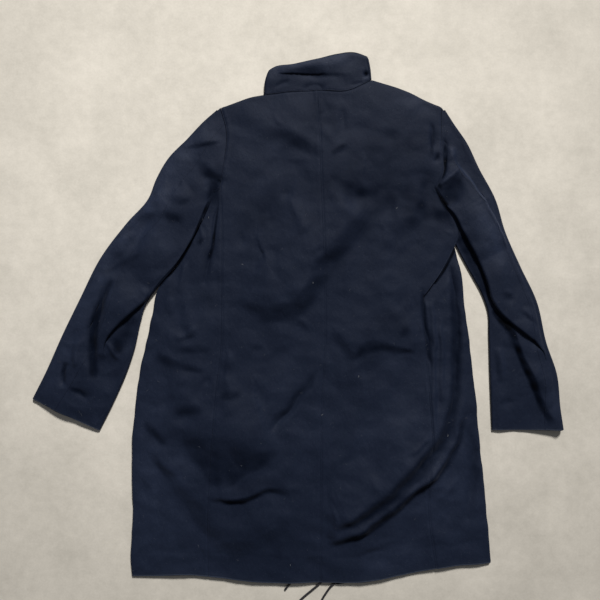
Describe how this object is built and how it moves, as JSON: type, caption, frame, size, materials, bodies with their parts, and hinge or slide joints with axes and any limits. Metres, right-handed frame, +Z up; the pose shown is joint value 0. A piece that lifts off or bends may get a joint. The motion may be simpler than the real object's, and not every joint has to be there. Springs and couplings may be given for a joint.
{
  "type": "stand-collar wool coat laid flat with its back up",
  "caption": "Long-sleeved wool coat with a stand-up collar, laid flat and face down, with cut back, side, front, sleeve and collar pieces and loose drawcord ends at the hem.",
  "frame": {"origin": "centre of the coat's outline in plan, on the floor that it lies on", "axes": "+Z up from the floor, out of the coat's back; +Y from the hem to the collar; +X to the wearer's right"},
  "size_m": [0.982, 1.0552, 0.0254],
  "materials": {
    "wool_cloth": "matte brushed wool, dark navy",
    "braided_cord": "matte braided cord, near black"
  },
  "bodies": {
    "root": {"back_left": "wool_cloth", "back_right": "wool_cloth", "side_left": "wool_cloth", "side_right": "wool_cloth", "front_left": "wool_cloth", "front_right": "wool_cloth", "sleeve_upper_left": "wool_cloth", "sleeve_under_left": "wool_cloth", "sleeve_upper_right": "wool_cloth", "sleeve_under_right": "wool_cloth", "collar": "wool_cloth", "cord_short": "braided_cord", "cord_middle": "braided_cord", "cord_right": "braided_cord"}
  },
  "joints": []
}
